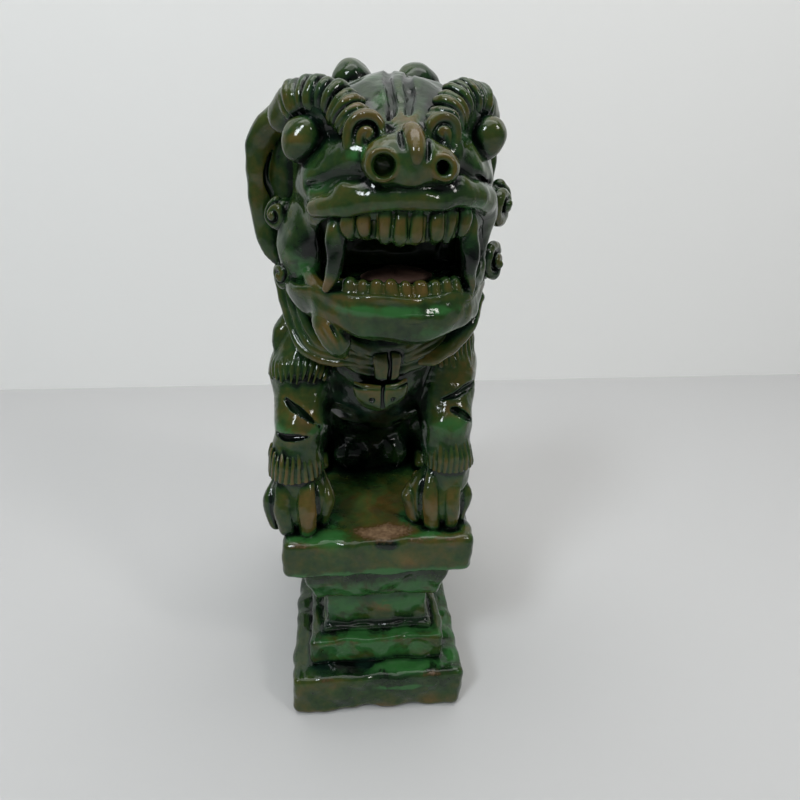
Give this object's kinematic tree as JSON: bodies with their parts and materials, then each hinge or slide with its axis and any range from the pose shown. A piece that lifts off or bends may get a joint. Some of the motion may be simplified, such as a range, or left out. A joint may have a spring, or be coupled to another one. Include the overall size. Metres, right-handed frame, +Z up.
{
  "type": "foo dog statue",
  "caption": "Green-glazed ceramic guardian lion dog seated on a stepped hollow plinth, mouth open, with a bell on its collar.",
  "frame": {"origin": "centre of the plinth's foot, on the surface it stands on", "axes": "+Z up, -Y is the way the face looks, +X to the right for a viewer who faces it"},
  "size_m": [0.0903, 0.1439, 0.2537],
  "materials": {
    "green_glaze": "glossy lead glaze, dark green, pooled darker in grooves",
    "dark_glaze": "glossy lead glaze, near black green, worn brown at the edges",
    "amber_glaze": "glossy glaze worn thin over the high points, brown and olive",
    "bare_clay": "unglazed reddish clay, matt"
  },
  "bodies": {
    "root": {"base_slab": "dark_glaze", "lower_step": "green_glaze", "waist_block": "green_glaze", "upper_moulding": "green_glaze", "top_slab": "green_glaze", "body_left_half": "green_glaze", "body_right_half": "green_glaze", "left_haunch": "green_glaze", "right_haunch": "green_glaze", "left_hind_paw": "amber_glaze", "right_hind_paw": "amber_glaze", "left_foreleg": "green_glaze", "right_foreleg": "green_glaze", "left_leg_cuff": "amber_glaze", "right_leg_cuff": "amber_glaze", "left_front_paw": "amber_glaze", "right_front_paw": "amber_glaze", "left_shoulder_tuft": "green_glaze", "right_shoulder_tuft": "green_glaze", "tail_stem": "green_glaze", "tail_locks": "green_glaze", "spine_ridge": "amber_glaze", "face_shell": "green_glaze", "back_head_shell": "green_glaze", "lower_jaw": "green_glaze", "upper_lip": "green_glaze", "lower_lip": "green_glaze", "upper_teeth": "amber_glaze", "lower_teeth": "amber_glaze", "left_fang": "amber_glaze", "right_fang": "amber_glaze", "tongue": "bare_clay", "nose": "green_glaze", "nose_bridge": "amber_glaze", "left_eye": "amber_glaze", "right_eye": "amber_glaze", "left_brow": "amber_glaze", "right_brow": "amber_glaze", "left_ear": "green_glaze", "right_ear": "green_glaze", "left_cheek_curl_upper": "green_glaze", "left_cheek_curl_lower": "green_glaze", "right_cheek_curl_upper": "green_glaze", "right_cheek_curl_middle": "green_glaze", "right_cheek_curl_lower": "green_glaze", "left_crown_curl": "green_glaze", "right_crown_curl": "green_glaze", "nape_curls": "green_glaze", "left_beard_lock": "green_glaze", "right_beard_lock": "green_glaze", "collar": "green_glaze", "bell_loop": "amber_glaze", "bell": "amber_glaze"}
  },
  "joints": []
}
